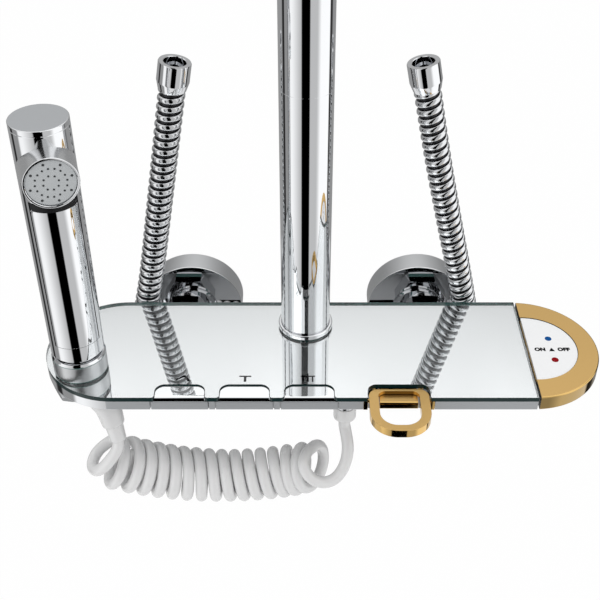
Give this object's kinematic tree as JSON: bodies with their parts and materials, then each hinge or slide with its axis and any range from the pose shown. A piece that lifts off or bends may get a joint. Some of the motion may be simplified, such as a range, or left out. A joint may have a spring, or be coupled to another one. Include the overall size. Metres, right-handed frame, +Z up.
{
  "type": "shower system",
  "caption": "Wall-mounted shower mixer with a mirrored shelf, press keys, a gold mixing lever and hook ring, a docked hand spray on a coiled hose, a riser pipe and flexible metal hoses.",
  "frame": {"origin": "on the finished wall face, midway between the axes of the two wall inlets", "axes": "+X along the wall to the right as seen from the room, +Y into the wall, +Z up"},
  "size_m": [0.3355, 0.1676, 0.3417],
  "materials": {
    "chrome": "polished chrome plating on brass, mirror-bright",
    "satin_chrome": "fine satin, turned",
    "gold": "gold-coloured plating, satin on top and polished on the sides",
    "mirror": "back-silvered glass with a green edge",
    "brass": "cast and machined, unplated inside",
    "steel": "turned stainless steel",
    "hose_metal": "polished ribbed stainless hose",
    "white_hose": "glossy white polyurethane",
    "white_inlay": "smooth white enamel-like inlay",
    "nozzle_grey": "fine matt plastic",
    "liner_grey": "matt acetal",
    "rubber_black": "matt rubber"
  },
  "bodies": {
    "fixed": {"left_wall_flange": "chrome", "left_eccentric_union": "chrome", "left_inlet_washer": "rubber_black", "left_union_nut": "chrome", "right_wall_flange": "chrome", "right_eccentric_union": "chrome", "right_inlet_washer": "rubber_black", "right_union_nut": "chrome", "valve_body": "brass", "shelf_tray": "chrome", "mirror_glass": "mirror", "tray_screw_left": "steel", "tray_screw_right": "steel", "key_shaft": "steel", "key_gold_shaft": "steel", "ring_lug_left": "gold", "ring_lug_right": "gold", "riser_socket": "brass", "riser_lower": "chrome", "riser_upper": "chrome", "riser_sleeve": "brass", "riser_collar": "chrome", "mixing_cartridge": "brass", "cartridge_nut": "brass", "dock_collar": "satin_chrome", "dock_liner": "liner_grey", "dock_lock_nut": "brass", "coil_hose": "white_hose", "coil_outlet": "chrome", "coil_outlet_nut": "chrome", "metal_hose_left": "hose_metal", "hose_elbow_left": "chrome", "hose_nut_left": "chrome", "hose_top_nut_left": "chrome", "metal_hose_right": "hose_metal", "hose_elbow_right": "chrome", "hose_nut_right": "chrome", "hose_top_nut_right": "chrome"},
    "hand_spray": {"handset_shell": "chrome", "handset_top_cap": "satin_chrome", "handset_head": "chrome", "spray_face": "nozzle_grey", "trigger_pin": "steel", "handset_tail": "satin_chrome", "bend_guard": "white_hose"},
    "trigger": {"trigger_paddle": "chrome"},
    "press_key_left": {"key_left": "chrome"},
    "valve_stem_left": {"plunger_left": "steel"},
    "press_key_middle": {"key_middle": "chrome"},
    "valve_stem_middle": {"plunger_middle": "steel"},
    "press_key_right": {"key_right": "chrome"},
    "valve_stem_right": {"plunger_right": "steel"},
    "press_key_gold": {"key_gold": "gold"},
    "valve_stem_gold": {"plunger_gold": "steel"},
    "ring": {"hook_ring": "gold"},
    "mixing_hub": {"lever_hub": "brass"},
    "lever": {"lever_handle": "gold", "lever_inlay": "white_inlay", "lever_pin": "steel"}
  },
  "joints": [
    {"name": "key_left_press", "type": "hinge", "parent": "fixed", "child": "press_key_left", "pos_m": [-0.0732, -0.086, 0.0143], "axis": [1, 0, 0], "range_deg": [0, 3], "stiffness_Nm_per_rad": 2, "springref_deg": -2.86},
    {"name": "key_middle_press", "type": "hinge", "parent": "fixed", "child": "press_key_middle", "pos_m": [-0.0356, -0.086, 0.0143], "axis": [1, 0, 0], "range_deg": [0, 3], "stiffness_Nm_per_rad": 2, "springref_deg": -2.86},
    {"name": "key_right_press", "type": "hinge", "parent": "fixed", "child": "press_key_right", "pos_m": [0.002, -0.086, 0.0143], "axis": [1, 0, 0], "range_deg": [0, 3], "stiffness_Nm_per_rad": 2, "springref_deg": -2.86},
    {"name": "key_gold_press", "type": "hinge", "parent": "fixed", "child": "press_key_gold", "pos_m": [0.054, -0.086, 0.0143], "axis": [1, 0, 0], "range_deg": [0, 3], "stiffness_Nm_per_rad": 2, "springref_deg": -2.86},
    {"name": "valve_left_slide", "type": "slide", "parent": "fixed", "child": "valve_stem_left", "axis": [0, 0, -1], "range_m": [0, 0.0008]},
    {"name": "valve_middle_slide", "type": "slide", "parent": "fixed", "child": "valve_stem_middle", "axis": [0, 0, -1], "range_m": [0, 0.0008]},
    {"name": "valve_right_slide", "type": "slide", "parent": "fixed", "child": "valve_stem_right", "axis": [0, 0, -1], "range_m": [0, 0.0008]},
    {"name": "valve_gold_slide", "type": "slide", "parent": "fixed", "child": "valve_stem_gold", "axis": [0, 0, -1], "range_m": [0, 0.0008]},
    {"name": "ring_hinge", "type": "hinge", "parent": "fixed", "child": "ring", "pos_m": [0.054, -0.1245, 0.0154], "axis": [1, 0, 0], "range_deg": [0, 75]},
    {"name": "temperature_turn", "type": "hinge", "parent": "fixed", "child": "mixing_hub", "pos_m": [0.126, -0.083, -0.004], "axis": [1, 0, 0], "range_deg": [-40, 40]},
    {"name": "lever_lift", "type": "hinge", "parent": "mixing_hub", "child": "lever", "pos_m": [0.1392, -0.083, 0.0152], "axis": [0, -1, 0], "range_deg": [0, 12]},
    {"name": "hand_spray_lift", "type": "slide", "parent": "fixed", "child": "hand_spray", "axis": [0, 0, 1], "range_m": [0, 0.05], "deforming": ["coil_hose", "bend_guard"]},
    {"name": "trigger_press", "type": "hinge", "parent": "hand_spray", "child": "trigger", "pos_m": [-0.13103, -0.10913, 0.138], "axis": [0.9511, 0.309, 0], "range_deg": [0, 2.5], "stiffness_Nm_per_rad": 2, "springref_deg": -4.58}
  ],
  "couplings": [
    {"joint": "valve_left_slide", "follows": "key_left_press", "m_per_rad": 0.013},
    {"joint": "valve_middle_slide", "follows": "key_middle_press", "m_per_rad": 0.013},
    {"joint": "valve_right_slide", "follows": "key_right_press", "m_per_rad": 0.013},
    {"joint": "valve_gold_slide", "follows": "key_gold_press", "m_per_rad": 0.013}
  ]
}
